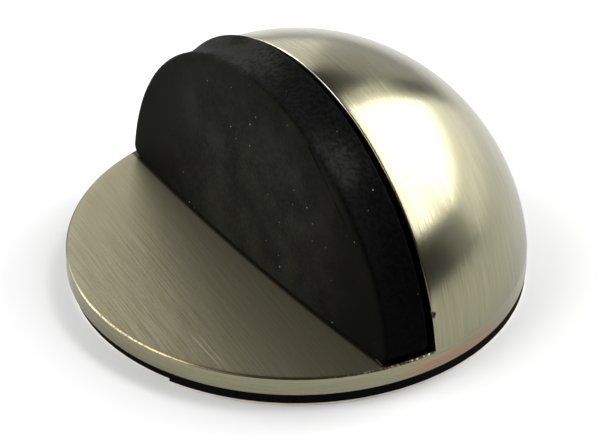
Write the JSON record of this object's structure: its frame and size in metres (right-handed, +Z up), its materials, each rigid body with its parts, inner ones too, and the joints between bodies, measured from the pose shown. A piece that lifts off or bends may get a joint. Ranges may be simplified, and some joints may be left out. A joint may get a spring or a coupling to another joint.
{
  "type": "floor door stop",
  "caption": "Low half-dome floor door stop: satin metal dome cast together with its base plate, with an upright half-disc rubber buffer, on a self-adhesive foam pad.",
  "frame": {"origin": "on the floor under the centre of the round base, at the underside of the release liner", "axes": "+Z up; -Y towards the door, the side of the buffer's face; X along the buffer"},
  "size_m": [0.047, 0.047, 0.0253],
  "materials": {
    "satin_metal": "brushed satin nickel plating on a zinc casting",
    "black_rubber": "matt moulded black rubber with fine dust",
    "black_foam": "matt closed-cell black foam tape",
    "pale_liner": "thin pale yellow coated paper"
  },
  "bodies": {
    "root": {"dome_casting": "satin_metal", "rubber_buffer": "black_rubber", "adhesive_pad": "black_foam", "release_liner": "pale_liner"}
  },
  "joints": []
}
